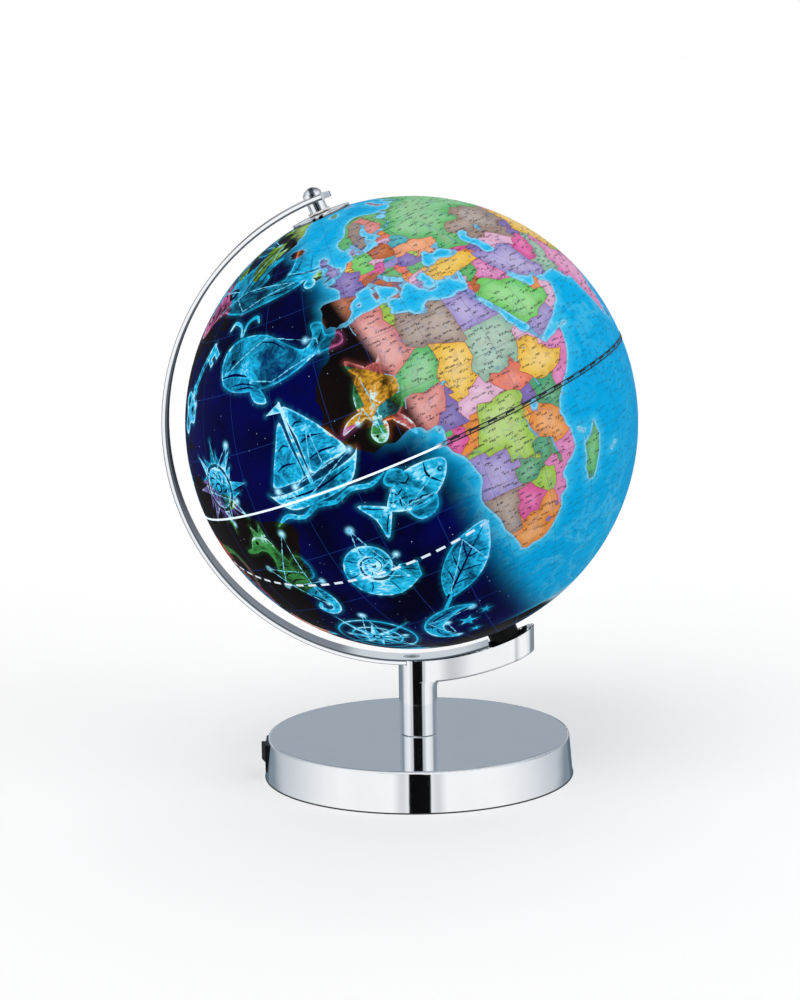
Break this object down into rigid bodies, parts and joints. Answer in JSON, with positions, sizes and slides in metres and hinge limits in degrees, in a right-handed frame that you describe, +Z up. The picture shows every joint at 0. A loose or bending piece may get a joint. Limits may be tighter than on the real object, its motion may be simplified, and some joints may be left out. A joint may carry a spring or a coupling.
{
  "type": "illuminated world globe",
  "caption": "Lit table globe that spins on a tilted axis, held by a bent metal arm in the trough of a round post on a chromed disc base with a side switch and a cell box.",
  "frame": {"origin": "middle of the base's flat underside, on the axis of the post", "axes": "+Z up along the post; the arm bends in the XZ plane, and the globe's north pole leans towards -X; the cells lie on the +Y side of the base"},
  "size_m": [0.2136, 0.2038, 0.268],
  "materials": {
    "globe_print": "printed map and star chart under a satin lacquer, lit from inside",
    "equator_print": "printed tape with a degree scale",
    "chrome": "polished chrome plate",
    "steel": "nickel-plated steel",
    "iron": "bare cast iron",
    "black_plastic": "moulded black plastic, fine grain",
    "rocker_plastic": "gloss black moulding",
    "white_plastic": "natural nylon",
    "board": "white lacquered circuit board",
    "light_chip": "yellow lens over a white light chip",
    "frosted_plastic": "frosted diffuser",
    "lead_sheath": "soft lead sheath",
    "foam_rubber": "closed-cell foam rubber",
    "cell_sleeve": "plain printed sleeve over a steel can",
    "contact_brass": "bare spring brass"
  },
  "bodies": {
    "stand": {"meridian_arm": "chrome", "arm_screw": "steel", "stand_bracket": "chrome", "lower_boss": "black_plastic", "boss_screws": "steel", "lamp_tube": "white_plastic", "led_board": "board", "led_chips": "light_chip", "lamp_cap": "frosted_plastic", "lamp_lead": "lead_sheath", "base_cover": "chrome", "stud": "steel", "stud_washer": "steel", "stud_nut": "steel", "base_weight": "iron", "floor_plate": "black_plastic", "floor_screws": "steel", "base_pad": "foam_rubber", "battery_door": "black_plastic", "door_screw": "steel", "battery_cells": "cell_sleeve", "battery_contacts": "contact_brass", "battery_lead": "lead_sheath", "return_lead": "lead_sheath", "switch_housing": "black_plastic", "switch_terminals": "contact_brass", "pole_washer": "white_plastic", "pole_spacer": "chrome", "north_pin": "steel", "pole_finial": "chrome"},
    "globe": {"north_hemisphere": "globe_print", "south_hemisphere": "globe_print", "equator_tape": "equator_print", "north_bushing": "white_plastic", "south_collar": "black_plastic", "pole_disc": "chrome"},
    "rocker": {"switch_rocker": "rocker_plastic"}
  },
  "joints": [
    {"name": "globe_spin", "type": "hinge", "parent": "stand", "child": "globe", "pos_m": [-0.0011, 0, 0.16185], "axis": [-0.3827, 0, 0.9239], "continuous": true},
    {"name": "rocker_tilt", "type": "hinge", "parent": "stand", "child": "rocker", "pos_m": [-0.06945, 0, 0.0096], "axis": [0, 0, 1], "range_deg": [-18, 0]}
  ]
}
